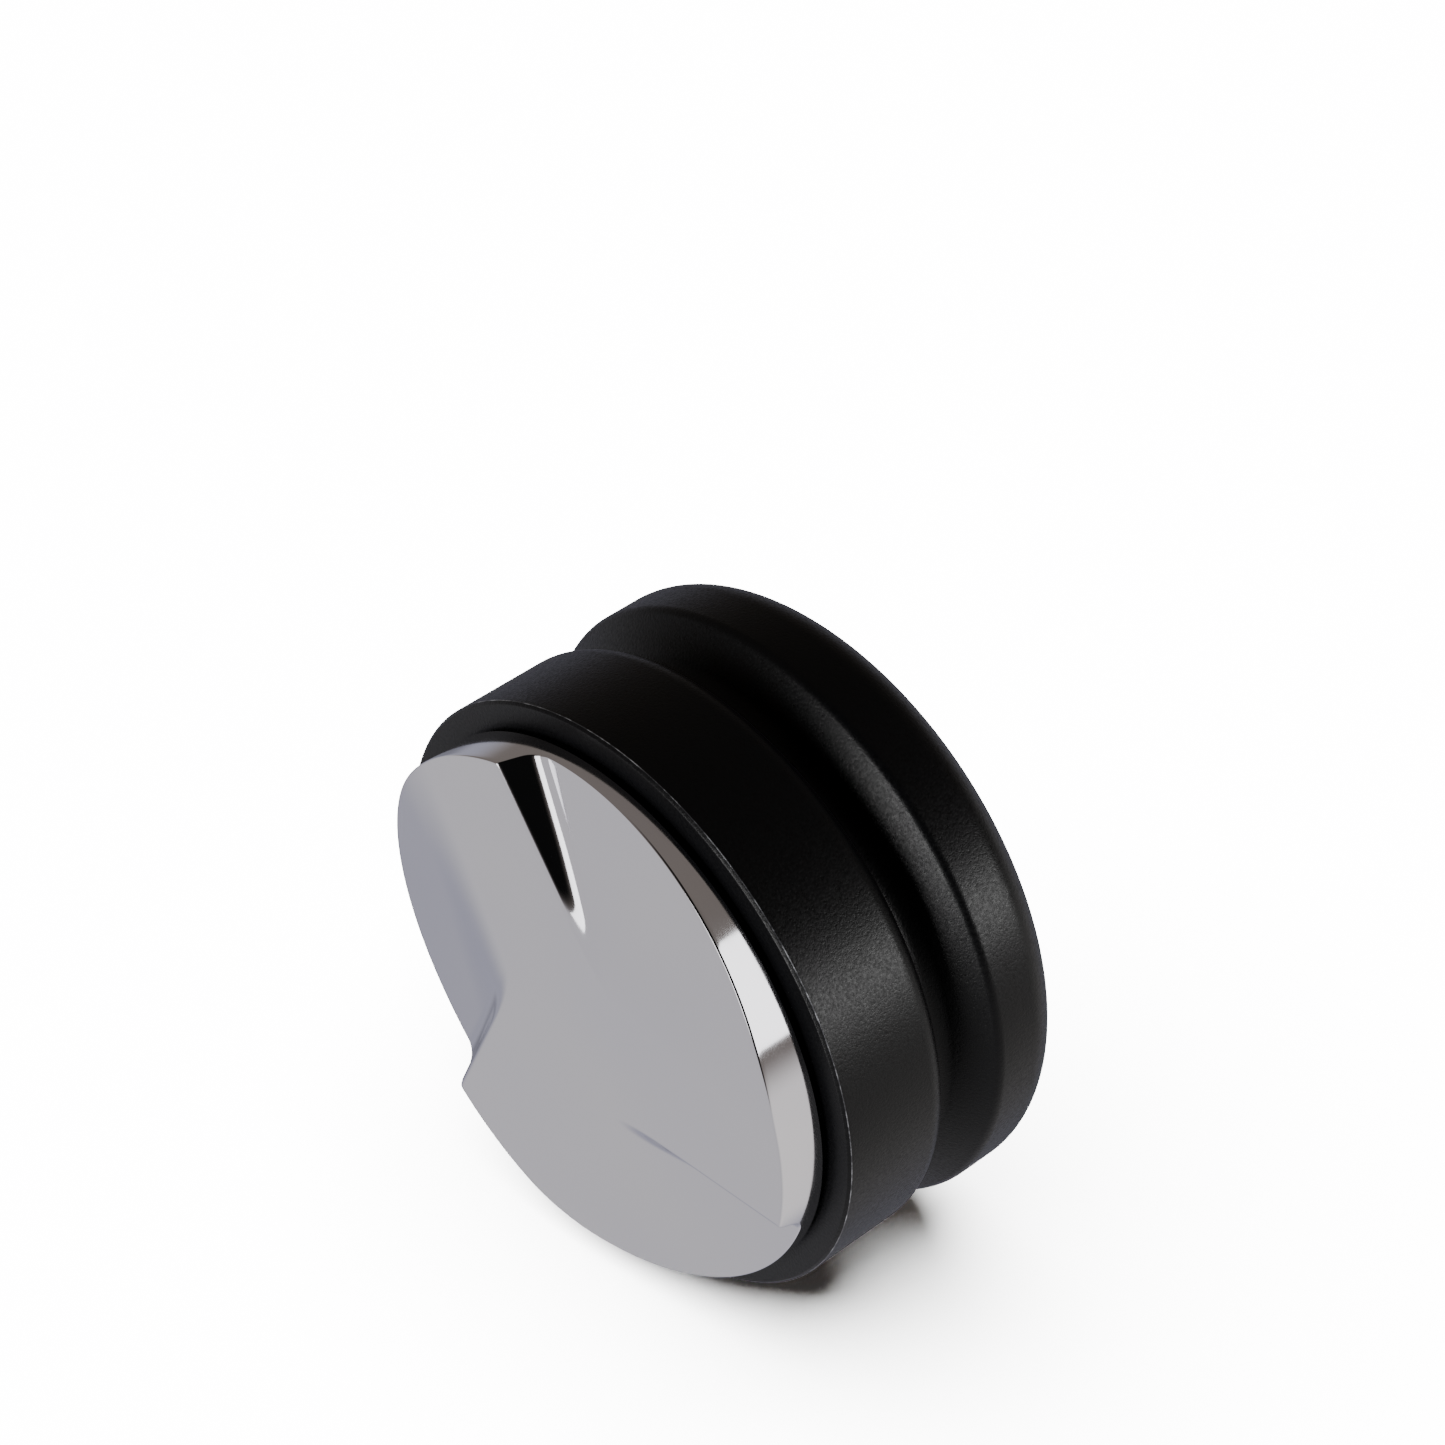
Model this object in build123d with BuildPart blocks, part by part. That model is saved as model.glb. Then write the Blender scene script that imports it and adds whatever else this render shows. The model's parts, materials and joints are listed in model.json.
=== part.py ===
"""Palm coffee distributor: a three-blade steel disc under a handle that screws up and down.

Millimetres, +Z up. The origin is the centre of the flat lands that the disc stands on, and the
handle is at its shallowest setting, just above the disc.
"""

from build123d import *

import os
from math import cos, radians, sin

# ---------------------------------------------------------------- driving dimensions

# Steel disc and its three blades
disc_radius = 29.2
disc_thickness = 5.4
disc_edge_chamfer = 0.3
blade_count = 3
first_tip_angle = 90.0
high_edge_skew = 16.7  # degrees between a blade's high edge and the radius to its tip
ramp_slope = 0.1386
ramp_fall_turn = 6.93  # degrees from the tip's radius to the way the ramp falls
ramp_start = 4.91  # how far from the axis the ramp leaves the flat land
step_lean = 30.0  # degrees that the step's wall leans
valley_fillet = 2.6

# Handle, outside
face_gap = 0.6
rim_seat_width = 2.7  # how far the handle's underside stands out past the disc
barrel_height = 10.65
bottom_chamfer = 0.3
shoulder_fillet = 2.7
waist_depth = 4.3
waist_length = 2.45
waist_low_fillet = 1.0
waist_high_fillet = 2.6
flank_height = 3.35
flange_overhang = 0.6  # how far the flange stands out past the barrel
flange_corner_fillet = 1.2
flange_band = 4.5
crown_height = 6.35

# Threaded post between disc and handle
hub_shoulder = 1.0  # how far the hub stands out past the bush that lands on it
hub_height = 9.6
hub_seat_depth = 1.0
hub_chamfer = 0.4
thread_radius = 10.0
thread_pitch = 1.5
travel_turns = 3
post_wall = 2.5
post_floor = 3.0
flat_depth = 1.0
flats_below_washer = 1.5
post_above_stop_ring = 1.2
post_end_chamfer = 0.5

# Socket screws and dowels
screw_radius = 1.5
screw_head_radius = 2.75
screw_head_height = 3.0
screw_hex_radius = 1.4
screw_hex_depth = 1.5
screw_count = 3
screw_head_gap = 0.25
post_screw_floor = 1.3  # steel left under the post screws' holes
bush_screw_grip = 3.5
dowel_radius = 1.5
dowel_length = 5.0
dowel_edge = 3.0  # from the hub's wall in to the dowels' circle
dowel_floor = 1.7  # steel left under the dowels' holes
dowel_angle = 30.0

# Friction rings
ring_section_radius = 1.0
ring_spacing = 2.2
ring_land = 1.3

# Threaded bush in the handle
bush_wall = 3.0
bush_length = 7.2
bush_flange_margin = 0.05
bush_flange_thickness = 2.5
bush_chamfer = 0.3

# Travel stop
washer_width = 2.2
washer_thickness = 1.5
stop_ring_thickness = 1.2
stop_ring_width = 2.2
stop_ring_bite = 0.7
stop_ring_gap_angle = 46.0
stop_ring_lug = 1.3
stop_ring_lug_reach = 1.5
stop_ring_lug_hole = 0.6
travel_reserve = 0.1

# Lid of the handle
lid_ledge = 2.2
lid_thickness = 1.5
lid_chamfer = 0.3
lid_margin = 1.6  # flat top left between the lid's seat and the crown
tape_thickness = 0.3
tape_width = 1.6

# Clearances
running_clearance = 0.05
bore_clearance = 0.3
seat_clearance = 0.02
lid_clearance = 0.1
hole_end_clearance = 0.3

# ---------------------------------------------------------------- places that follow from them

barrel_radius = disc_radius + rim_seat_width
waist_radius = barrel_radius - waist_depth
flange_radius = barrel_radius + flange_overhang
handle_bottom = disc_thickness + face_gap
barrel_top = handle_bottom + barrel_height
waist_bottom = barrel_top + shoulder_fillet
waist_top = waist_bottom + waist_length
flange_bottom = waist_top + flank_height
crown_bottom = flange_bottom + flange_band
handle_top = crown_bottom + crown_height

bush_radius = thread_radius + bush_wall
hub_radius = bush_radius + hub_shoulder
post_bore_radius = thread_radius - post_wall
flat_half_width = thread_radius - flat_depth
washer_radius = thread_radius + washer_width
stop_groove_radius = thread_radius - stop_ring_bite
stop_ring_lug_circle = stop_groove_radius + stop_ring_lug_reach
post_screw_circle = post_bore_radius - screw_head_gap - screw_head_radius
bush_screw_circle = washer_radius + screw_head_gap + screw_head_radius
bush_flange_radius = bush_screw_circle + screw_head_radius + bush_flange_margin
dowel_circle = hub_radius - dowel_edge

hub_bottom = disc_thickness - hub_seat_depth
hub_top = disc_thickness + hub_height
hub_floor_top = hub_bottom + post_floor
post_screw_grip = hub_bottom - post_screw_floor - hole_end_clearance
dowel_in_disc = hub_bottom - dowel_floor - hole_end_clearance
handle_bore_radius = hub_radius + bore_clearance
web_bottom = hub_top + bore_clearance
bush_bottom = hub_top + running_clearance
bush_top = bush_bottom + bush_length
bush_seat = bush_top - bush_flange_thickness
washer_bottom = bush_top + running_clearance
washer_top = washer_bottom + washer_thickness
travel = thread_pitch * travel_turns
stop_ring_bottom = washer_top + travel + travel_reserve
stop_ring_top = stop_ring_bottom + stop_ring_thickness
post_top = stop_ring_top + post_above_stop_ring
flats_bottom = washer_bottom - flats_below_washer
lid_bottom = handle_top - lid_thickness
ledge_top = lid_bottom - tape_thickness
cavity_radius = bush_flange_radius + bore_clearance
lid_radius = cavity_radius + lid_ledge
lid_seat_radius = lid_radius + lid_clearance
crown_radial = flange_radius - lid_seat_radius - lid_margin
ring_centre_radius = handle_bore_radius - running_clearance - ring_section_radius
ring_groove_radius = ring_centre_radius - ring_section_radius - seat_clearance
ring_groove_half_width = ring_section_radius + running_clearance
upper_ring_height = hub_top - ring_land
lower_ring_height = upper_ring_height - ring_spacing
cut_length = 2 * disc_radius

os.makedirs("parts", exist_ok=True)


def save(piece, name):
    """Labels a finished piece and writes it as one STEP file."""
    piece.part.label = name
    export_step(piece.part, f"parts/{name}.step")


def direction(angle):
    """The level unit vector at an angle about the axis."""
    return Vector(cos(radians(angle)), sin(radians(angle)), 0)


# ---------------------------------------------------------------- blade disc


def step_section(tip_angle):
    """The plane across one blade's valley, and the corners of the opening that lies in it."""
    high_edge = direction(tip_angle + 180 - high_edge_skew)
    across = direction(tip_angle + 90 - high_edge_skew)
    wall = across * sin(radians(step_lean)) + Vector(0, 0, cos(radians(step_lean)))
    wall_normal = high_edge.cross(wall)
    fall = direction(tip_angle + ramp_fall_turn)
    ramp_normal = fall * ramp_slope - Vector(0, 0, 1)

    # The wall starts at the high edge and meets the ramp in the valley.
    tip = direction(tip_angle) * disc_radius
    wall_depth = (fall * ramp_start - tip).dot(ramp_normal) / wall.dot(ramp_normal)
    valley_point = tip + wall * wall_depth
    valley = wall_normal.cross(ramp_normal).normalized()
    section = Plane(origin=valley_point, x_dir=across, z_dir=valley)

    ramp = ramp_normal.cross(valley).normalized()
    if ramp.dot(across) < 0:
        ramp = ramp * -1
    ramp_end = valley_point + ramp * cut_length
    corners = [
        valley_point,
        ramp_end,
        ramp_end - Vector(0, 0, disc_radius),
        valley_point - wall * disc_radius,
    ]
    flat_corners = [section.to_local_coords(corner) for corner in corners]
    return section, [(corner.X, corner.Y) for corner in flat_corners]


with BuildPart() as blade_disc:
    Cylinder(disc_radius, disc_thickness, align=(Align.CENTER, Align.CENTER, Align.MIN))
    for blade in range(blade_count):
        tip_angle = first_tip_angle + blade * 360 / blade_count
        section, corners = step_section(tip_angle)
        with BuildSketch(section) as opening:
            Polygon(*corners, align=None)
            fillet(opening.vertices().sort_by_distance((0, 0))[0], valley_fillet)
        extrude(amount=cut_length, both=True, mode=Mode.SUBTRACT)
    chamfer(blade_disc.faces().sort_by(Axis.Z)[-1].edges(), disc_edge_chamfer)
    with Locations((0, 0, hub_bottom)):
        Cylinder(
            hub_radius + seat_clearance,
            hub_seat_depth + running_clearance,
            align=(Align.CENTER, Align.CENTER, Align.MIN),
            mode=Mode.SUBTRACT,
        )
    with BuildSketch(Plane.XY.offset(hub_bottom)):
        with PolarLocations(post_screw_circle, screw_count):
            Circle(screw_radius + seat_clearance)
    extrude(amount=-post_screw_grip - hole_end_clearance, mode=Mode.SUBTRACT)
    with BuildSketch(Plane.XY.offset(hub_bottom)):
        with PolarLocations(dowel_circle, 2, start_angle=dowel_angle):
            Circle(dowel_radius + seat_clearance)
    extrude(amount=-dowel_in_disc - hole_end_clearance, mode=Mode.SUBTRACT)

save(blade_disc, "blade_disc")

# ---------------------------------------------------------------- threaded post

with BuildPart() as threaded_post:
    with BuildSketch(Plane.XZ):
        with BuildLine():
            Polyline(
                (0, hub_bottom),
                (hub_radius, hub_bottom),
                (hub_radius, hub_top - hub_chamfer),
                (hub_radius - hub_chamfer, hub_top),
                (thread_radius, hub_top),
                (thread_radius, stop_ring_bottom - seat_clearance),
                (stop_groove_radius, stop_ring_bottom - seat_clearance),
                (stop_groove_radius, stop_ring_top + seat_clearance),
                (thread_radius, stop_ring_top + seat_clearance),
                (thread_radius, post_top - post_end_chamfer),
                (thread_radius - post_end_chamfer, post_top),
                (post_bore_radius, post_top),
                (post_bore_radius, hub_floor_top),
                (0, hub_floor_top),
                close=True,
            )
        make_face()
    revolve(axis=Axis.Z)
    with BuildSketch(Plane.XZ):
        for ring_height in (lower_ring_height, upper_ring_height):
            with Locations((ring_groove_radius, ring_height)):
                Rectangle(
                    2 * ring_section_radius,
                    2 * ring_groove_half_width,
                    align=(Align.MIN, Align.CENTER),
                )
    revolve(axis=Axis.Z, mode=Mode.SUBTRACT)
    with BuildSketch(Plane.XY.offset(flats_bottom)):
        Circle(2 * thread_radius)
        Rectangle(4 * thread_radius, 2 * flat_half_width, mode=Mode.SUBTRACT)
    extrude(amount=post_top - flats_bottom, mode=Mode.SUBTRACT)
    with BuildSketch(Plane.XY.offset(hub_bottom)):
        with PolarLocations(post_screw_circle, screw_count):
            Circle(screw_radius + seat_clearance)
    extrude(amount=post_floor, mode=Mode.SUBTRACT)
    with BuildSketch(Plane.XY.offset(hub_bottom)):
        with PolarLocations(dowel_circle, 2, start_angle=dowel_angle):
            Circle(dowel_radius + seat_clearance)
    extrude(amount=dowel_length - dowel_in_disc + hole_end_clearance, mode=Mode.SUBTRACT)

save(threaded_post, "threaded_post")

# ---------------------------------------------------------------- screws and dowels


def socket_screws(circle_radius, seat_height, shank_length, start_angle=0.0):
    """A circle of cap screws whose heads sit at seat_height and whose shanks point down."""
    with BuildPart() as screws:
        with BuildSketch(Plane.XY.offset(seat_height)):
            with PolarLocations(circle_radius, screw_count, start_angle=start_angle):
                Circle(screw_head_radius)
        extrude(amount=screw_head_height)
        with BuildSketch(Plane.XY.offset(seat_height)):
            with PolarLocations(circle_radius, screw_count, start_angle=start_angle):
                Circle(screw_radius)
        extrude(amount=-shank_length)
        with BuildSketch(Plane.XY.offset(seat_height + screw_head_height)):
            with PolarLocations(circle_radius, screw_count, start_angle=start_angle):
                RegularPolygon(screw_hex_radius, 6)
        extrude(amount=-screw_hex_depth, mode=Mode.SUBTRACT)
    return screws


post_screws = socket_screws(post_screw_circle, hub_floor_top, post_floor + post_screw_grip)
save(post_screws, "post_screws")

with BuildPart() as post_dowels:
    with BuildSketch(Plane.XY.offset(hub_bottom - dowel_in_disc)):
        with PolarLocations(dowel_circle, 2, start_angle=dowel_angle):
            Circle(dowel_radius)
    extrude(amount=dowel_length)

save(post_dowels, "post_dowels")

# ---------------------------------------------------------------- friction rings


def friction_ring(ring_height):
    """A round rubber ring that sits in the hub's groove and drags on the handle's bore."""
    with BuildPart() as ring:
        with BuildSketch(Plane.XZ):
            with Locations((ring_centre_radius, ring_height)):
                Circle(ring_section_radius)
        revolve(axis=Axis.Z)
    return ring


lower_friction_ring = friction_ring(lower_ring_height)
save(lower_friction_ring, "lower_friction_ring")
upper_friction_ring = friction_ring(upper_ring_height)
save(upper_friction_ring, "upper_friction_ring")

# ---------------------------------------------------------------- travel stop

with BuildPart() as stop_washer:
    with BuildSketch(Plane.XY.offset(washer_bottom)):
        Circle(washer_radius)
        with BuildSketch(mode=Mode.SUBTRACT):
            Circle(thread_radius + running_clearance)
            Rectangle(
                4 * thread_radius,
                2 * (flat_half_width + running_clearance),
                mode=Mode.INTERSECT,
            )
    extrude(amount=washer_thickness)

save(stop_washer, "stop_washer")

with BuildPart() as stop_ring:
    with BuildSketch(Plane.XY.offset(stop_ring_bottom)):
        Circle(stop_groove_radius + stop_ring_width)
        Circle(stop_groove_radius + seat_clearance, mode=Mode.SUBTRACT)
        gap_corner = direction(stop_ring_gap_angle / 2) * (2 * thread_radius)
        Polygon(
            (0, 0),
            (gap_corner.X, gap_corner.Y),
            (gap_corner.X, -gap_corner.Y),
            align=None,
            mode=Mode.SUBTRACT,
        )
        for end_angle in (stop_ring_gap_angle / 2, -stop_ring_gap_angle / 2):
            with PolarLocations(stop_ring_lug_circle, 1, start_angle=end_angle):
                Circle(stop_ring_lug)
                Circle(stop_ring_lug_hole, mode=Mode.SUBTRACT)
        Circle(stop_groove_radius + seat_clearance, mode=Mode.SUBTRACT)
    extrude(amount=stop_ring_thickness)

save(stop_ring, "stop_ring")

# ---------------------------------------------------------------- threaded bush

with BuildPart() as threaded_bush:
    with BuildSketch(Plane.XZ):
        with BuildLine():
            Polyline(
                (thread_radius + running_clearance, bush_bottom),
                (bush_radius - bush_chamfer, bush_bottom),
                (bush_radius, bush_bottom + bush_chamfer),
                (bush_radius, bush_seat),
                (bush_flange_radius, bush_seat),
                (bush_flange_radius, bush_top - bush_chamfer),
                (bush_flange_radius - bush_chamfer, bush_top),
                (thread_radius + running_clearance, bush_top),
                close=True,
            )
        make_face()
    revolve(axis=Axis.Z)
    with BuildSketch(Plane.XY.offset(bush_top)):
        with PolarLocations(bush_screw_circle, screw_count):
            Circle(screw_radius + seat_clearance)
    extrude(amount=-bush_flange_thickness, mode=Mode.SUBTRACT)

save(threaded_bush, "threaded_bush")

bush_screws = socket_screws(bush_screw_circle, bush_top, bush_flange_thickness + bush_screw_grip)
save(bush_screws, "bush_screws")

# ---------------------------------------------------------------- handle

with BuildPart() as handle_body:
    with BuildSketch(Plane.XZ) as outline:
        with BuildLine():
            barrel_side = Polyline(
                (handle_bore_radius, handle_bottom),
                (barrel_radius - bottom_chamfer, handle_bottom),
                (barrel_radius, handle_bottom + bottom_chamfer),
                (barrel_radius, waist_bottom),
                (waist_radius, waist_bottom),
                (waist_radius, waist_top),
                (flange_radius, flange_bottom),
                (flange_radius, crown_bottom),
            )
            crown = EllipticalCenterArc(
                (flange_radius - crown_radial, crown_bottom),
                crown_radial,
                crown_height,
                start_angle=0,
                arc_size=90,
            )
            Polyline(
                crown @ 1,
                (lid_seat_radius, handle_top),
                (lid_seat_radius, ledge_top),
                (cavity_radius, ledge_top),
                (cavity_radius, bush_seat),
                (bush_radius + seat_clearance, bush_seat),
                (bush_radius + seat_clearance, web_bottom),
                (handle_bore_radius, web_bottom),
                barrel_side @ 0,
            )
        make_face()
        for corner, fillet_radius in (
            ((barrel_radius, waist_bottom), shoulder_fillet),
            ((waist_radius, waist_bottom), waist_low_fillet),
            ((waist_radius, waist_top), waist_high_fillet),
            ((flange_radius, flange_bottom), flange_corner_fillet),
        ):
            fillet(outline.vertices().sort_by_distance(corner)[0], fillet_radius)
    revolve(axis=Axis.Z)
    with BuildSketch(Plane.XY.offset(bush_seat)):
        with PolarLocations(bush_screw_circle, screw_count):
            Circle(screw_radius + seat_clearance)
    extrude(amount=-bush_screw_grip - hole_end_clearance, mode=Mode.SUBTRACT)

save(handle_body, "handle_body")

# ---------------------------------------------------------------- lid

with BuildPart() as handle_lid:
    with Locations((0, 0, lid_bottom)):
        Cylinder(lid_radius, lid_thickness, align=(Align.CENTER, Align.CENTER, Align.MIN))
    chamfer(handle_lid.faces().sort_by(Axis.Z)[-1].edges(), lid_chamfer)

save(handle_lid, "handle_lid")

with BuildPart() as lid_tape:
    with BuildSketch(Plane.XY.offset(ledge_top)):
        Circle(lid_radius)
        Circle(lid_radius - tape_width, mode=Mode.SUBTRACT)
    extrude(amount=tape_thickness)

save(lid_tape, "lid_tape")
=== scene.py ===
# %% [markdown]
# # A palm coffee distributor, from frame to finish
#
# The tool is a polished steel disc with three sloping blades, under a black anodised handle that
# screws up and down. The CAD model gives every place and size. This lesson loads it as a fixed
# frame and builds the surfaces that the eye meets round it, in metres, with +Z up the tool's axis.

import json
import math

import bpy
from mathutils import Matrix, Vector

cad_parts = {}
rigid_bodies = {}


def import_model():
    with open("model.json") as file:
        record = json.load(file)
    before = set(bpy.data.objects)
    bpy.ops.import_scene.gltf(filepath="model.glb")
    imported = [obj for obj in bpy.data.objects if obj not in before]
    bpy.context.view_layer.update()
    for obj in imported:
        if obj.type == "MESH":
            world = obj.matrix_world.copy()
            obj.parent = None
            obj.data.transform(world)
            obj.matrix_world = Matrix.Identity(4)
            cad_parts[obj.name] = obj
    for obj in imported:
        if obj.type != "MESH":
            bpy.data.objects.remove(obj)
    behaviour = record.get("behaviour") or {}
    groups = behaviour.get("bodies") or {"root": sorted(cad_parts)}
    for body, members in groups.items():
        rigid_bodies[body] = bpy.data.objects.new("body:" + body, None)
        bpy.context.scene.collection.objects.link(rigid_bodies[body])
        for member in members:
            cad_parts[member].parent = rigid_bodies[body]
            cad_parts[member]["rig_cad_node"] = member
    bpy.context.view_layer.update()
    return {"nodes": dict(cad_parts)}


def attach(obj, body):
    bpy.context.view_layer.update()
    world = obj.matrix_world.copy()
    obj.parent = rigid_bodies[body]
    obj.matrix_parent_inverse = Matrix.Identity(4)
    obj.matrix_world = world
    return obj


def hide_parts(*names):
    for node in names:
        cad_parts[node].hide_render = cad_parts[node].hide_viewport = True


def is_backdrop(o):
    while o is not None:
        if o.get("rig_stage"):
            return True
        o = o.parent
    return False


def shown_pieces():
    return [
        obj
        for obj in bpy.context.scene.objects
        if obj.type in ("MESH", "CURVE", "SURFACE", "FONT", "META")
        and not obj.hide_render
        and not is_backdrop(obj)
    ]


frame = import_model()
MM = 0.001
print("CAD nodes:", sorted(frame["nodes"]))

# %% [markdown]
# ## Small helpers
#
# Every piece starts from a clean selection, because an operator acts on all that is selected, and
# the loaded CAD nodes are selected at first. A turned piece starts as a drawn half section. A plane
# shrunk to one point is the pencil: it is extruded from corner to corner, as by hand.

# %% Selection, drawing and turning


def only(obj):
    """Makes one object the active one, and the only one selected."""
    if bpy.context.mode != "OBJECT":
        bpy.ops.object.mode_set(mode="OBJECT")
    bpy.ops.object.select_all(action="DESELECT")
    obj.select_set(True)
    bpy.context.view_layer.objects.active = obj


def draw_section(name, points):
    """Draws a half section in the XZ plane from (radius, height) pairs in millimetres.

    It is closed unless it starts on the axis, where the spin closes it."""
    if bpy.context.mode == "OBJECT":
        bpy.ops.object.select_all(action="DESELECT")
    bpy.ops.mesh.primitive_plane_add(size=MM, location=(0, 0, 0))
    piece = bpy.context.object
    piece.name = piece.data.name = name
    bpy.ops.object.mode_set(mode="EDIT")
    bpy.ops.mesh.select_all(action="SELECT")
    bpy.ops.mesh.merge(type="CENTER")
    here = Vector((0, 0, 0))
    for number, (radius, height) in enumerate(points):
        there = Vector((radius * MM, 0, height * MM))
        step = {"value": there - here}
        if number == 0:
            bpy.ops.transform.translate(**step)
        else:
            bpy.ops.mesh.extrude_region_move(TRANSFORM_OT_translate=step)
        here = there
    if points[0][0] > 0:
        bpy.ops.mesh.select_all(action="SELECT")
        bpy.ops.mesh.edge_face_add()
        bpy.ops.mesh.delete(type="ONLY_FACE")
    return piece


def spin_section(piece, steps):
    """Turns the drawn section once round Z and closes the seam, with its faces outwards."""
    bpy.ops.mesh.select_all(action="SELECT")
    bpy.ops.mesh.spin(
        steps=steps, angle=math.tau, center=(0, 0, 0), axis=(0, 0, 1), use_normal_flip=False
    )
    bpy.ops.mesh.select_all(action="SELECT")
    bpy.ops.mesh.remove_doubles(threshold=1e-6)
    bpy.ops.mesh.normals_make_consistent(inside=False)
    bpy.ops.object.mode_set(mode="OBJECT")
    return piece


def arc(centre, radius, start, end, count, radius_2=None):
    """Points on an arc, in millimetres and degrees, from start to end. radius_2 is the height's."""
    radius_2 = radius if radius_2 is None else radius_2
    angles = [math.radians(start + (end - start) * i / count) for i in range(count + 1)]
    return [
        (centre[0] + radius * math.cos(a), centre[1] + radius_2 * math.sin(a)) for a in angles
    ]


def rounded(points, corner, radius, count=8):
    """Replaces one corner of an outline with a tangent arc."""
    a, b, c = (Vector(points[(corner + i) % len(points)]) for i in (-1, 0, 1))
    to_a, to_c = (a - b).normalized(), (c - b).normalized()
    half = to_a.angle(to_c) / 2
    centre = b + (to_a + to_c).normalized() * radius / math.sin(half)
    start = b + to_a * radius / math.tan(half) - centre
    end = b + to_c * radius / math.tan(half) - centre
    turn = start.angle_signed(end)
    made = []
    for i in range(count + 1):
        spoke = start.copy()
        spoke.rotate(Matrix.Rotation(-turn * i / count, 2))
        made.append(tuple(centre + spoke))
    return made


# %% [markdown]
# ## The camera
#
# The tool lies on its side and the lens looks a little up into the blades, so in the tool's own
# frame the camera stands below the floor. The lens is long, about 108 mm, as for a product shot,
# so the round faces stay nearly true. The matrix holds the camera's right, up and back directions.

# %% Camera
CAMERA_PLACE = Vector((-0.01765, -0.3722, -0.1850))
CAMERA_RIGHT = Vector((0.518, -0.4302, 0.7394))
CAMERA_UP = Vector((-0.8554, -0.2605, 0.4478))
CAMERA_BACK = Vector((0, -0.8644, -0.5029))

camera = bpy.data.objects.new("camera", bpy.data.cameras.new("camera"))
bpy.context.scene.collection.objects.link(camera)
turned = Matrix((CAMERA_RIGHT, CAMERA_UP, CAMERA_BACK)).transposed()
camera.matrix_world = Matrix.Translation(CAMERA_PLACE) @ turned.to_4x4()
camera.data.sensor_width = 36
camera.data.lens = 107.9
camera.data.clip_start, camera.data.clip_end = 0.01, 20
bpy.context.scene.camera = camera
print("camera", tuple(round(x, 4) for x in camera.location), "lens", camera.data.lens)

# %% [markdown]
# ## The handle
#
# The handle is a lathe job: barrel, shoulder, finger waist, sloping flank, flange and a domed top
# that ends at the lid's seat. One closed half section holds the outside and the hidden bore, web
# and cavity, and one spin makes them all. A subdivision surface would soften the crisp seams
# between the turned curves, so the arcs are drawn with enough points instead. A flat next to a
# rounded edge gets one more ring close by, or the smooth shading would bend its reflections.

# %% Handle section and spin
BARREL, WAIST, FLANGE, SEAT = 31.9, 27.6, 32.49, 20.6
HUB_BORE, WEB_BORE, CAVITY = 14.3, 13.02, 18.3
WEB_LOW, WEB_HIGH, LEDGE = 15.3, 19.75, 34.2
CHAMFER, EDGE_ROUND, CROWN_RADIUS = 0.3, 0.12, 10.3
FACE, WAIST_LOW, WAIST_HIGH, FLANK_TOP, CROWN, TOP = 6.0, 19.35, 21.8, 25.15, 29.65, 36.0
SUPPORT = 0.4  # an extra ring so far from a rounded edge keeps the flat beside it flat
corners = [
    (HUB_BORE, FACE),
    (BARREL - CHAMFER - SUPPORT, FACE),
    (BARREL - CHAMFER, FACE),
    (BARREL, FACE + CHAMFER),
    (BARREL, FACE + CHAMFER + SUPPORT),
    (BARREL, WAIST_LOW),
    (WAIST, WAIST_LOW),
    (WAIST, WAIST_HIGH),
    (FLANGE, FLANK_TOP),
    (FLANGE, CROWN),
]
section = []
# Corner number: radius of its round in millimetres, and the pieces that its arc is drawn in.
roundings = {
    2: (EDGE_ROUND, 3),
    3: (EDGE_ROUND, 3),
    5: (2.7, 14),
    6: (1.0, 8),
    7: (2.6, 12),
    8: (1.2, 12),
}
for number, corner in enumerate(corners):
    if number in roundings:
        section += rounded(corners, number, *roundings[number])
    else:
        section.append(corner)
section += arc((FLANGE - CROWN_RADIUS, CROWN), CROWN_RADIUS, 0, 90, 28, TOP - CROWN)[1:]
section += [(SEAT + EDGE_ROUND, TOP), (SEAT, TOP - EDGE_ROUND), (SEAT, LEDGE), (CAVITY, LEDGE)]
section += [(CAVITY, WEB_HIGH), (WEB_BORE, WEB_HIGH), (WEB_BORE, WEB_LOW), (HUB_BORE, WEB_LOW)]
handle = spin_section(draw_section("handle_turned", section), 240)
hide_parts("handle_body")
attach(handle, "handle")
print("handle", len(handle.data.polygons), "faces")

# %% [markdown]
# ## The lid
#
# A flat disc closes the handle's top. Its edge has a small round, and a hair of shadow runs round
# it where it drops into its seat. A shallow turned groove just inside the edge frames the top.

# %% Lid section and spin
LID, LID_LOW, LID_TOP, LID_ROUND = 20.5, 34.5, 35.95, 0.25
GROOVE, GROOVE_HALF, GROOVE_DEPTH, INNER_RING = 19.0, 0.2, 0.07, 9.0
lid_points = [(0.0, LID_LOW), (LID, LID_LOW), (LID, LID_TOP - LID_ROUND)]
lid_points += arc((LID - LID_ROUND, LID_TOP - LID_ROUND), LID_ROUND, 0, 90, 5)[1:]
lid_points += [(GROOVE + GROOVE_HALF, LID_TOP), (GROOVE, LID_TOP - GROOVE_DEPTH)]
groove_inside = GROOVE - GROOVE_HALF
lid_points += [(groove_inside, LID_TOP), (groove_inside - SUPPORT, LID_TOP)]
lid_points += [(INNER_RING, LID_TOP), (0.0, LID_TOP)]
lid = spin_section(draw_section("lid_turned", lid_points), 180)
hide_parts("handle_lid")
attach(lid, "handle")
print("lid", len(lid.data.polygons), "faces")

# %% [markdown]
# ## The blade disc
#
# Three ramps are milled into the disc's underside. Each falls from a flat land to a step, whose
# wall leans and ends in a rounded valley. Under a mirror finish every facet or sliver of a boolean
# cut would show. So the plain disc is spun first, and then the points of its underside are moved:
# turned, so that a row of them follows each blade's edge, and lifted by the depth that the cutter
# would leave there.

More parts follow.
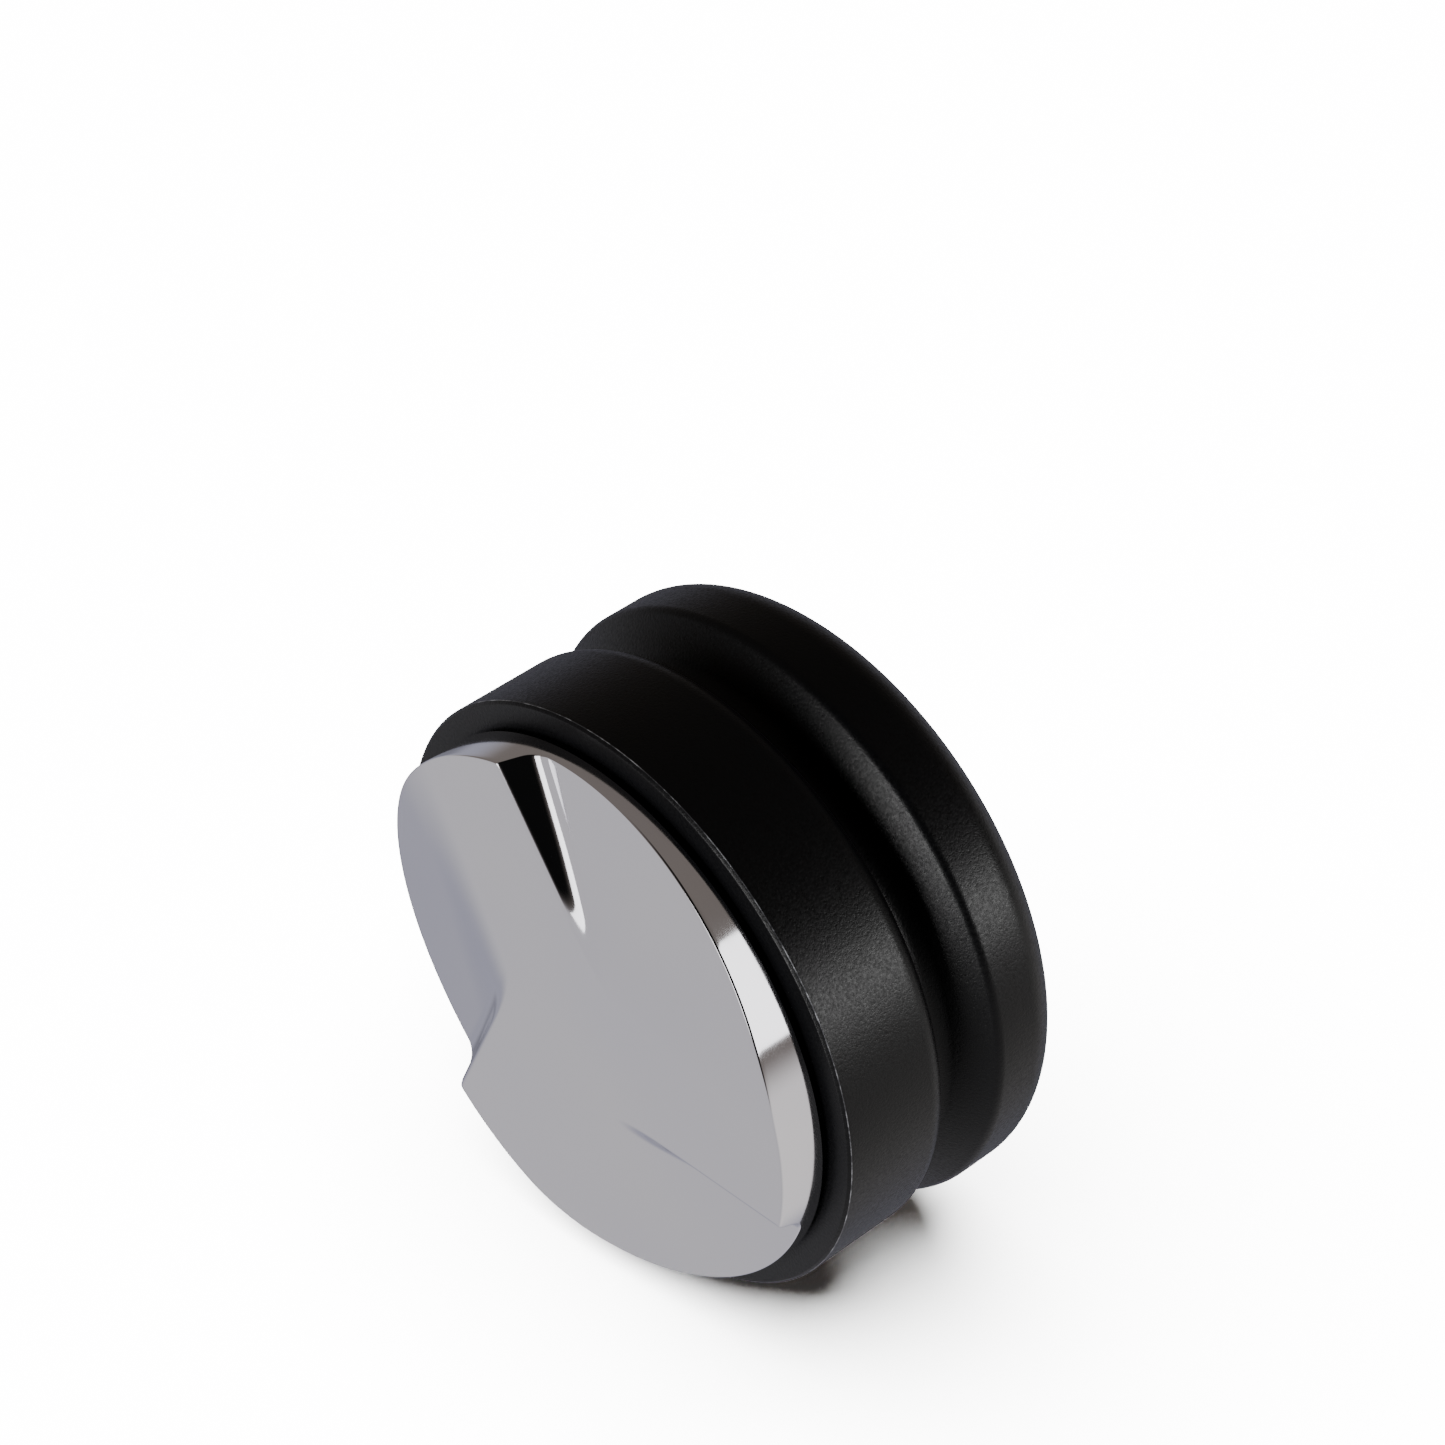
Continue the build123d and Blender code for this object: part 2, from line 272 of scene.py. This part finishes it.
# %% Depth of the ramps
DISC, THICK = 29.2, 5.4
EDGE_LEAN = math.radians(16.7)  # between a blade's edge and the line from its tip to the axis
EDGE_OFF = DISC * math.sin(EDGE_LEAN)  # from the axis to the line of a blade's edge
SLOPE, RAMP_TURN, RAMP_START = 0.1386, math.radians(6.93), 4.91
RUN_IN_SLOPE, RUN_IN_TURN, RUN_IN_START = 0.3, math.radians(25), 10.9  # near the middle
WALL_LEAN = math.radians(61)
VALLEY_RADIUS = 2.6
EASE = 0.8  # how deep the polish rounds the edges and the start of a ramp
BLEND = 0.9  # how widely the ramp and its run-in flow into each other


def eased(depth):
    """Zero above the land, with a soft start below it."""
    if depth <= -EASE:
        return 0.0
    return depth if depth >= EASE else (depth + EASE) ** 2 / (4 * EASE)


def flowing(first, second):
    """The lesser of two depths, with a smooth change from one to the other."""
    near = max(BLEND - abs(first - second), 0.0) / BLEND
    return min(first, second) - near**2 * BLEND / 4


def blade_depth(x, y):
    """Depth in millimetres that one blade's cut leaves at a point, with the blade's tip on +X."""
    fall = x * math.cos(RAMP_TURN) + y * math.sin(RAMP_TURN) - RAMP_START
    run_in = x * math.cos(RUN_IN_TURN) + y * math.sin(RUN_IN_TURN) - RUN_IN_START
    ramp = flowing(SLOPE * fall, RUN_IN_SLOPE * run_in)
    edge = math.radians(90) - EDGE_LEAN
    across = (x - DISC) * math.cos(edge) + y * math.sin(edge)
    # The wall runs down from the edge to a round valley, which meets the ramp at its lowest line.
    rise = math.cos(WALL_LEAN) * (ramp - VALLEY_RADIUS)
    valley = (VALLEY_RADIUS + rise) / math.sin(WALL_LEAN)
    wall_end = valley - VALLEY_RADIUS * math.sin(WALL_LEAN)
    if across >= valley:
        depth = ramp
    elif across > wall_end:
        drop = math.sqrt(max(VALLEY_RADIUS**2 - (valley - across) ** 2, 0))
        depth = ramp - VALLEY_RADIUS + drop
    else:
        depth = across * math.tan(WALL_LEAN)
    return eased(min(depth, ramp))


def cut_depth(x, y):
    """The deepest of the three blades' cuts at a point, with one blade's tip on +X."""
    depths = []
    for third in range(3):
        turn = -third * math.tau / 3
        depths.append(
            blade_depth(
                x * math.cos(turn) - y * math.sin(turn), x * math.sin(turn) + y * math.cos(turn)
            )
        )
    return max(depths)


print("depth beside a tip", round(cut_depth(28.5, 5.0), 2), "mm")

# %% [markdown]
# The plain disc is a flat turned blank with a small round at its rim. The sectors of the spin are
# drawn evenly here and spaced afresh in the next step. The rings are close, since the ramps'
# valleys are only a few millimetres across.

# %% Disc section and spin
RIM_ROUND, TOP_CHAMFER, RING_STEP = 0.2, 0.3, 0.45
POST_SEAT, POST_FLOOR = 14.02, 4.4  # the recess in which the post stands
sector = [0.1 * i for i in range(12)] + [1.2 + 0.25 * i for i in range(34)]
sector += [9.7 + 0.4 * i for i in range(20)] + [17.7 + 1.6 * i for i in range(63)]
sector += [118, 118.9, 119.4, 119.6, 119.75, 119.9]
rings = [DISC - RIM_ROUND - RING_STEP * i for i in range(65)]
disc_points = [(0.0, 0.0)] + [(r, 0.0) for r in reversed(rings) if r > 0.1]
disc_points += arc((DISC - RIM_ROUND, RIM_ROUND), RIM_ROUND, -90, 0, 8)[1:]
disc_points += [(DISC, RIM_ROUND + SUPPORT), (DISC, THICK - TOP_CHAMFER)]
disc_points += [(DISC - TOP_CHAMFER, THICK), (POST_SEAT, THICK)]
disc_points += [(POST_SEAT, POST_FLOOR), (0, POST_FLOOR)]
disc = spin_section(draw_section("blade_disc_polished", disc_points), 3 * len(sector))
print("disc", len(disc.data.vertices), "points before the cut")

# %% [markdown]
# Now each point of the underside is moved. The sectors bunch up at a blade's edge, where the shape
# turns fastest, and sweep round with it, so that mesh edges run along the real one. The wall and
# the top share those sectors, so that the side stays untwisted.

# %% Cut the ramps
ON_AXIS = 1e-6
UNDERSIDE_TOP = 1.0  # points of the plain blank below this height belong to the underside
count = 3 * len(sector)
for point in disc.data.vertices:
    x, y, z = (value / MM for value in point.co)
    radius = math.hypot(x, y)
    if radius < ON_AXIS:
        continue
    spoke = round(math.atan2(y, x) / math.tau * count) % count
    blade, place = divmod(spoke, len(sector))
    underside = z < UNDERSIDE_TOP
    local = math.radians(sector[place])
    if underside:
        local += math.acos(EDGE_OFF / DISC) - math.acos(min(1.0, EDGE_OFF / radius))
    x, y = radius * math.cos(local), radius * math.sin(local)
    depth = cut_depth(x, y) if underside else 0.0
    tip = math.radians(90 + 120 * blade)
    turned_x = x * math.cos(tip) - y * math.sin(tip)
    turned_y = x * math.sin(tip) + y * math.cos(tip)
    point.co = Vector((turned_x, turned_y, z + depth)) * MM
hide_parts("blade_disc")
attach(disc, "steel_base")

for piece, angle in ((handle, 30), (lid, 30), (disc, 40)):
    only(piece)
    bpy.ops.object.shade_smooth_by_angle(angle=math.radians(angle), keep_sharp_edges=False)
print("disc", len(disc.data.polygons), "faces after the cut")

# %% [markdown]
# ## Finishes
#
# Colours are written as the sRGB hex values that a paint chart would give, and turned to linear
# light by one function. One more function adds a node with its settings and links.

# %% Node helpers


def linear(hex_colour):
    """An sRGB hex colour as linear RGBA."""
    parts = [int(hex_colour[i : i + 2], 16) / 255 for i in (1, 3, 5)]
    return [p / 12.92 if p <= 0.04045 else ((p + 0.055) / 1.055) ** 2.4 for p in parts] + [1]


def add_node(tree, kind, settings=None, values=None, links=None):
    """Adds a node, sets its properties and sockets, and links its sockets to other nodes'."""
    node = tree.nodes.new(kind)
    for key, value in (settings or {}).items():
        setattr(node, key, value)
    for key, value in (values or {}).items():
        node.inputs[key].default_value = value
    for key, source in (links or {}).items():
        tree.links.new(source, node.inputs[key])
    return node


def new_finish(name, **values):
    """A new material whose one shader starts from the given socket values."""
    finish = bpy.data.materials.new(name)
    finish.use_nodes = True
    tree = finish.node_tree
    shader = tree.nodes["Principled BSDF"]
    for key, value in values.items():
        shader.inputs[key.replace("_", " ")].default_value = value
    place = add_node(tree, "ShaderNodeTexCoord").outputs["Object"]
    return finish, tree, shader, place


def raise_bumps(tree, shader, height, strength, distance):
    """Bends the shader's normals by a height pattern, of a depth given in metres."""
    bump = add_node(
        tree,
        "ShaderNodeBump",
        values={"Strength": strength, "Distance": distance},
        links={"Height": height},
    )
    tree.links.new(bump.outputs["Normal"], shader.inputs["Normal"])


def per_metre(millimetres):
    """The scale that makes a pattern repeat about once in so many millimetres."""
    return 1000 / millimetres


# %% [markdown]
# The disc is stainless steel, ground and then buffed by hand to a near mirror. Buffing leaves a
# surface that is smooth but not quite true, so wide reflections drift a little across it, and a
# faint haze makes some places softer than others.

# %% Buffed stainless steel
steel, tree, shader, place = new_finish(
    "buffed_stainless", Metallic=1.0
)
haze = add_node(
    tree,
    "ShaderNodeTexNoise",
    values={"Scale": per_metre(6), "Detail": 5, "Roughness": 0.65},
    links={"Vector": place},
)
gloss = add_node(
    tree,
    "ShaderNodeMapRange",
    values={"From Min": 0.3, "From Max": 0.7, "To Min": 0.06, "To Max": 0.12},
    links={"Value": haze.outputs["Fac"]},
)
tree.links.new(gloss.outputs["Result"], shader.inputs["Roughness"])
drift = add_node(
    tree,
    "ShaderNodeTexNoise",
    values={"Scale": per_metre(22), "Detail": 1},
    links={"Vector": place},
)
raise_bumps(tree, shader, drift.outputs["Fac"], 1.0, 0.00009)
tint = add_node(
    tree,
    "ShaderNodeMix",
    {"data_type": "RGBA"},
    {6: linear("#cbcacb"), 7: linear("#c3c2ca")},
    {0: drift.outputs["Fac"]},
)
tree.links.new(tint.outputs[2], shader.inputs["Base Color"])
print("finish", steel.name)

# %% [markdown]
# The handle is aluminium, blasted with fine glass beads and then anodised black. The blasting
# leaves fine grains, which glitter inside a soft highlight. They are drawn at about 0.3 mm, a
# little coarse, so that they show. The dyed oxide takes in nearly all light, so the colour is
# almost black. On the sharp lower edge the oxide is rubbed thin, and metal shows through unevenly.

# %% Bead-blasted black anodised aluminium


def blasted(tree, shader, place, strength):
    """Fine blasted grain: a bump, and a gloss that varies from grain to grain."""
    grain = add_node(
        tree,
        "ShaderNodeTexNoise",
        values={"Scale": per_metre(0.3), "Detail": 2, "Roughness": 0.75},
        links={"Vector": place},
    )
    raise_bumps(tree, shader, grain.outputs["Fac"], strength, 0.00004)
    gloss = add_node(
        tree,
        "ShaderNodeMapRange",
        values={"From Min": 0.3, "From Max": 0.7, "To Min": 0.26, "To Max": 0.46},
        links={"Value": grain.outputs["Fac"]},
    )
    tree.links.new(gloss.outputs["Result"], shader.inputs["Roughness"])


black, tree, shader, place = new_finish(
    "bead_blasted_black_anodised", Base_Color=linear("#050506"), Specular_IOR_Level=0.1
)
blasted(tree, shader, place, 0.85)

rubbed, tree, shader, place = new_finish(
    "rubbed_anodised_edge", Metallic=0.7, Specular_IOR_Level=0.3
)
blasted(tree, shader, place, 0.4)
specks = add_node(
    tree,
    "ShaderNodeTexNoise",
    values={"Scale": per_metre(1.2), "Detail": 2, "Roughness": 0.6},
    links={"Vector": place},
)
bare = add_node(
    tree,
    "ShaderNodeValToRGB",
    links={"Fac": specks.outputs["Fac"]},
)
bare.color_ramp.elements[0].position = 0.46
bare.color_ramp.elements[0].color = linear("#3a3a3d")
bare.color_ramp.elements[1].position = 0.7
bare.color_ramp.elements[1].color = linear("#8d8e92")
tree.links.new(bare.outputs["Color"], shader.inputs["Base Color"])
print("finishes", black.name, rubbed.name)

# %% [markdown]
# The pieces between disc and handle show only when the handle is screwed up. The hub is turned
# steel with fine lathe rings, the bush is turned brass, and the rings are moulded rubber.

# %% Finishes of the hidden pieces
WAVE_PHASE = 20  # radians that a wave texture turns through in one unit, at a scale of 1
RING_MM = 0.5  # real lathe rings are nearer 0.1 mm, too fine to show


def turned_metal(name, colour, roughness):
    """A lathe-turned metal, with fine rings round Z."""
    finish, tree, shader, place = new_finish(
        name, Base_Color=linear(colour), Metallic=1.0, Roughness=roughness
    )
    rings = add_node(
        tree,
        "ShaderNodeTexWave",
        {"wave_type": "BANDS", "bands_direction": "Z"},
        {
            "Scale": per_metre(RING_MM) * math.tau / WAVE_PHASE,
            "Distortion": 0.6,
            "Detail": 3,
            "Detail Scale": 2,
        },
        {"Vector": place},
    )
    raise_bumps(tree, shader, rings.outputs["Fac"], 0.25, 0.00002)
    return finish


def soft_black(name, colour, grain_mm, roughness):
    """A matt black rubber, foam or oxide with a fine uneven surface."""
    finish, tree, shader, place = new_finish(
        name, Base_Color=linear(colour), Roughness=roughness, Specular_IOR_Level=0.3
    )
    grain = add_node(
        tree,
        "ShaderNodeTexNoise",
        values={"Scale": per_metre(grain_mm), "Detail": 3},
        links={"Vector": place},
    )
    raise_bumps(tree, shader, grain.outputs["Fac"], 0.4, 0.00005)
    return finish


turned_steel = turned_metal("turned_stainless", "#b9bbbd", 0.28)
screw_steel = turned_metal("plain_screw_steel", "#9fa1a3", 0.35)
brass = turned_metal("turned_brass", "#c9a45c", 0.3)
rubber = soft_black("moulded_nitrile_rubber", "#141414", 0.4, 0.6)
oxide = soft_black("black_oxide_spring_steel", "#1b1b1e", 0.2, 0.4)
foam = soft_black("foam_tape", "#1a1a1a", 0.15, 0.9)

# %% [markdown]
# The three new pieces take their finishes whole, but for the thin band of faces round the
# handle's lower edge. The pieces carried over from the CAD model keep their shape and place, and
# take a finish by name.

# %% Put the finishes on
for piece, finish in ((disc, steel), (handle, black), (lid, black)):
    piece.data.materials.clear()
    piece.data.materials.append(finish)
handle.data.materials.append(rubbed)
for face in handle.data.polygons:
    out = math.hypot(face.center.x, face.center.y) / MM
    if out > BARREL - CHAMFER / 2 and face.center.z / MM < FACE + CHAMFER + EDGE_ROUND / 2:
        face.material_index = 1

node_finishes = {
    "threaded_post": turned_steel,
    "post_screws": screw_steel,
    "post_dowels": screw_steel,
    "bush_screws": screw_steel,
    "threaded_bush": brass,
    "stop_washer": brass,
    "stop_ring": oxide,
    "lower_friction_ring": rubber,
    "upper_friction_ring": rubber,
    "lid_tape": foam,
}
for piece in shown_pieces():
    if piece.get("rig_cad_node") in node_finishes:
        for slot in piece.material_slots:
            slot.material = node_finishes[piece["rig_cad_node"]]

# %% [markdown]
# ## Floor and light
#
# In a studio the backdrop is lit on its own until it is pure white, and the product is lit
# softly apart from it. Light linking does that here: two lamps reach only the stage. The tool lies
# on an upright sheet that touches its rim, because its own frame stands it on end. A floor at its
# foot serves the views from above. Each shows its front face only.

# %% Stage
RIM_SIDE = Vector((0.6388, 0.7694, 0))  # from the axis to the point of the rim that it lies on
FLANGE_REACH = 0.0326

paper, tree, shader, place = new_finish(
    "matt_white_paper", Base_Color=linear("#f6f6f6"), Roughness=1.0, Specular_IOR_Level=0.0
)
behind = add_node(tree, "ShaderNodeNewGeometry").outputs["Backfacing"]
clear = add_node(tree, "ShaderNodeBsdfTransparent")
mixed = add_node(
    tree,
    "ShaderNodeMixShader",
    links={0: behind, 1: shader.outputs[0], 2: clear.outputs[0]},
)
tree.links.new(mixed.outputs[0], tree.nodes["Material Output"].inputs["Surface"])


def paper_sheet(name, place, facing):
    """A large white sheet that only the camera sees, so that it neither lights nor shades."""
    bpy.ops.object.select_all(action="DESELECT")
    bpy.ops.mesh.primitive_plane_add(size=8, location=place)
    sheet = bpy.context.object
    sheet.name = name
    sheet.rotation_euler = facing.to_track_quat("Z", "Y").to_euler()
    sheet.data.materials.append(paper)
    sheet.visible_diffuse = sheet.visible_glossy = sheet.visible_transmission = False
    sheet.visible_shadow = False
    sheet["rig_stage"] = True
    return sheet


ground = paper_sheet("stage_ground", RIM_SIDE * FLANGE_REACH, -RIM_SIDE)
floor = paper_sheet("stage_floor", Vector((0, 0, -0.00005)), Vector((0, 0, 1)))


def sheet_lamp(sheet, toward, spread, strength):
    """A wide sun that lights one sheet alone."""
    name = sheet.name + "_lamp"
    lamp = bpy.data.objects.new(name, bpy.data.lights.new(name, "SUN"))
    bpy.context.scene.collection.objects.link(lamp)
    lamp.rotation_euler = toward.to_track_quat("-Z", "Y").to_euler()
    lamp.data.angle = math.radians(spread)
    lamp.data.energy = strength
    lit = bpy.data.collections.new(sheet.name + "_lit")
    lit.objects.link(sheet)
    lamp.light_linking.receiver_collection = lit


sheet_lamp(ground, Vector((0.85, 0.66, 0.16)), 78, 55)
sheet_lamp(floor, Vector((0.2, 0.2, -1)), 60, 60)

# %% [markdown]
# The tool itself sees a soft studio: a pale table on the side that it lies on, brighter to its
# right, and a dim warm room above. The world's shade follows the direction of the ray. Soft boxes
# add the wide highlights. Steel and anodised black need very different powers, so each has a pair
# of its own: a key on the upper right, and a fill at the left that lights the valleys' sides.

# %% Studio
WORLD_SEEN = 14.0
TABLE_RIGHT, TABLE_LEFT = (1.3, 1.25, 1.22, 1), (0.86, 0.84, 0.87, 1)
TABLE_FAR, HORIZON = (0.48, 0.48, 0.58, 1), (0.24, 0.24, 0.29, 1)
ROOM, DARK = (0.25, 0.22, 0.2, 1), (0.006, 0.006, 0.006, 1)
world = bpy.data.worlds.new("studio")
bpy.context.scene.world = world
world.use_nodes = True
tree = world.node_tree
toward = add_node(tree, "ShaderNodeTexCoord").outputs["Generated"]


def along(direction, low, high):
    """0 to 1 as a ray's lean towards a direction goes from low to high."""
    lean = add_node(
        tree,
        "ShaderNodeVectorMath",
        {"operation": "DOT_PRODUCT"},
        {1: direction},
        {0: toward},
    )
    ramp = add_node(
        tree,
        "ShaderNodeMapRange",
        {"interpolation_type": "SMOOTHSTEP"},
        {"From Min": low, "From Max": high},
        {"Value": lean.outputs["Value"]},
    )
    return ramp.outputs["Result"]


def blend(factor, low, high):
    """A mix of two colours or colour outputs."""
    values = {i: c for i, c in ((6, low), (7, high)) if isinstance(c, tuple)}
    links = {i: c for i, c in ((6, low), (7, high)) if not isinstance(c, tuple)}
    mix = add_node(
        tree, "ShaderNodeMix", {"data_type": "RGBA"}, values, {0: factor, **links}
    )
    return mix.outputs[2]


table = blend(along(CAMERA_RIGHT, -0.3, 0.9), TABLE_LEFT, TABLE_RIGHT)
table = blend(along(-CAMERA_BACK, 0.58, 0.84), table, TABLE_FAR)
table = blend(along(-CAMERA_BACK, 0.86, 0.95), table, HORIZON)
studio = blend(along(RIM_SIDE, -0.08, 0.2), ROOM, table)
studio = blend(along(CAMERA_BACK, 0.5, 0.8), studio, DARK)
seen = add_node(tree, "ShaderNodeLightPath").outputs["Is Camera Ray"]
shown = blend(seen, studio, (WORLD_SEEN, WORLD_SEEN, WORLD_SEEN, 1))
tree.links.new(shown, tree.nodes["Background"].inputs["Color"])


def soft_box(name, place, size, power, reach):
    """A soft box of a given width and height that lights only some pieces."""
    lamp = bpy.data.objects.new(name, bpy.data.lights.new(name, "AREA"))
    bpy.context.scene.collection.objects.link(lamp)
    lamp.location = place
    middle = Vector((0, 0, 0.02))
    lamp.rotation_euler = (middle - Vector(place)).to_track_quat("-Z", "Y").to_euler()
    lamp.data.shape = "RECTANGLE"
    lamp.data.size, lamp.data.size_y = size
    lamp.data.energy = power
    lit = bpy.data.collections.new(name + "_lit")
    for piece in reach:
        lit.objects.link(piece)
    lamp.light_linking.receiver_collection = lit


anodised = [handle, lid]
bright = [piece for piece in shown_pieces() if piece not in anodised]
soft_box("key_on_steel", (0.18, -0.48, 0.30), (0.40, 0.30), 1.6, bright)
soft_box("key_on_handle", (0.30, -0.40, 0.30), (0.14, 0.30), 3.2, anodised)
soft_box("fill_on_handle", (0.02, -0.06, -0.58), (0.40, 0.40), 11, anodised)
soft_box("fill_on_steel", (-0.043, -0.02, -0.60), (0.22, 0.22), 0.6, bright)
print("soft boxes on", len(anodised), "anodised and", len(bright), "other pieces")
